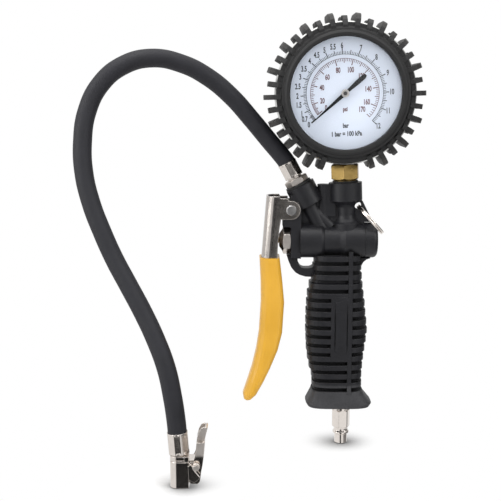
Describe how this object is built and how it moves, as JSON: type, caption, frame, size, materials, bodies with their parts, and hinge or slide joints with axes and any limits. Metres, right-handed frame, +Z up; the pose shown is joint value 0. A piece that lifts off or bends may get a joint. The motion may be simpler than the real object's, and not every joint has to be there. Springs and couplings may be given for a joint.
{
  "type": "tire inflator",
  "caption": "Hand-held tyre inflator: ribbed handle with a trigger lever, a dial gauge in a finned rubber boot, and a short hose with a clip-on chuck.",
  "frame": {"origin": "centre of the tip of the air plug, where the object stands", "axes": "+Z up along the plug and the handle, +X from the trigger towards the handle, +Y from the dial's face to its back"},
  "size_m": [0.227, 0.1062, 0.2937],
  "materials": {
    "charcoal_plastic": "fine satin, slightly bluish",
    "nickel_plate": "warm nickel plate, soft reflections",
    "steel": "turned or pressed steel",
    "brass": "turned brass",
    "yellow_vinyl": "dipped vinyl, soft gloss",
    "black_rubber": "matte black rubber",
    "hose_rubber": "matte black, faint sheen",
    "dial_white": "printed enamel, bluish white",
    "pointer_black": "matte black enamel",
    "clear_lens": "clear flat lens"
  },
  "bodies": {
    "inflator": {"handle_grip": "charcoal_plastic", "valve_body": "charcoal_plastic", "end_cap": "charcoal_plastic", "inlet_tube": "steel", "air_plug": "nickel_plate", "plug_seal": "black_rubber", "gland_nut": "nickel_plate", "stem_o_ring": "black_rubber", "valve_spring": "steel", "valve_seat": "brass", "end_cap_seal": "black_rubber", "gallery_plug": "steel", "lever_pin": "steel", "pin_clip": "steel", "port_washer": "black_rubber", "hose_adaptor": "nickel_plate", "upper_ferrule": "nickel_plate", "hose": "hose_rubber", "lower_ferrule": "nickel_plate", "hose_tail": "nickel_plate", "chuck_body": "nickel_plate", "chuck_pin": "steel", "chuck_spring": "steel", "chuck_seal": "black_rubber", "chuck_depressor": "brass", "gauge_seal": "black_rubber", "gauge_socket": "brass", "bourdon_tube": "brass", "tube_tip": "brass", "movement_back_plate": "brass", "movement_front_plate": "brass", "movement_screws": "steel", "hairspring": "steel", "dial": "dial_white", "gauge_case": "steel", "case_screws": "steel", "relief_plug": "black_rubber", "bezel": "steel", "lens": "clear_lens", "lens_gasket": "black_rubber", "rubber_boot": "black_rubber"},
    "trigger": {"trigger_lever": "nickel_plate", "lever_sleeve": "yellow_vinyl"},
    "valve": {"valve_stem": "brass", "poppet_seal": "black_rubber"},
    "key_ring": {"key_ring": "nickel_plate"},
    "chuck_clip": {"chuck_lever": "nickel_plate"},
    "sector": {"sector_gear": "brass"},
    "link": {"drive_link": "steel"},
    "pointer": {"pointer": "pointer_black", "pinion_arbor": "brass"}
  },
  "joints": [
    {"name": "trigger_pivot", "type": "hinge", "parent": "inflator", "child": "trigger", "pos_m": [-0.0361, 0, 0.165], "axis": [0, -1, 0], "range_deg": [0, 8], "stiffness_Nm_per_rad": 1.5, "springref_deg": -5.73},
    {"name": "valve_slide", "type": "slide", "parent": "inflator", "child": "valve", "axis": [1, 0, 0], "range_m": [0, 0.0031], "deforming": ["valve_spring"]},
    {"name": "ring_swing", "type": "hinge", "parent": "inflator", "child": "key_ring", "pos_m": [0.0096, 0, 0.1668], "axis": [0, -1, 0], "range_deg": [0, 80]},
    {"name": "clip_pivot", "type": "hinge", "parent": "inflator", "child": "chuck_clip", "pos_m": [-0.097, -0.077, 0.0152], "axis": [0, -1, 0], "range_deg": [0, 12], "stiffness_Nm_per_rad": 0.2, "springref_deg": -20.05, "deforming": ["chuck_spring"]},
    {"name": "sector_pivot", "type": "hinge", "parent": "inflator", "child": "sector", "pos_m": [-0.0012, 0, 0.22575], "axis": [0, -1, 0], "range_deg": [0, 26.4], "stiffness_Nm_per_rad": 0.02, "springref_deg": -2.86},
    {"name": "link_pivot", "type": "hinge", "parent": "sector", "child": "link", "pos_m": [0.00469, 0, 0.22034], "axis": [0, -1, 0], "range_deg": [-27, 0]},
    {"name": "pointer_turn", "type": "hinge", "parent": "inflator", "child": "pointer", "pos_m": [-0.00189, 0, 0.24224], "axis": [0, 1, 0], "range_deg": [0, 264], "deforming": ["hairspring"]}
  ],
  "couplings": [
    {"joint": "valve_slide", "follows": "trigger_pivot", "m_per_rad": 0.0218},
    {"joint": "pointer_turn", "follows": "sector_pivot", "ratio": 10},
    {"joint": "link_pivot", "follows": "sector_pivot", "ratio": -1}
  ]
}
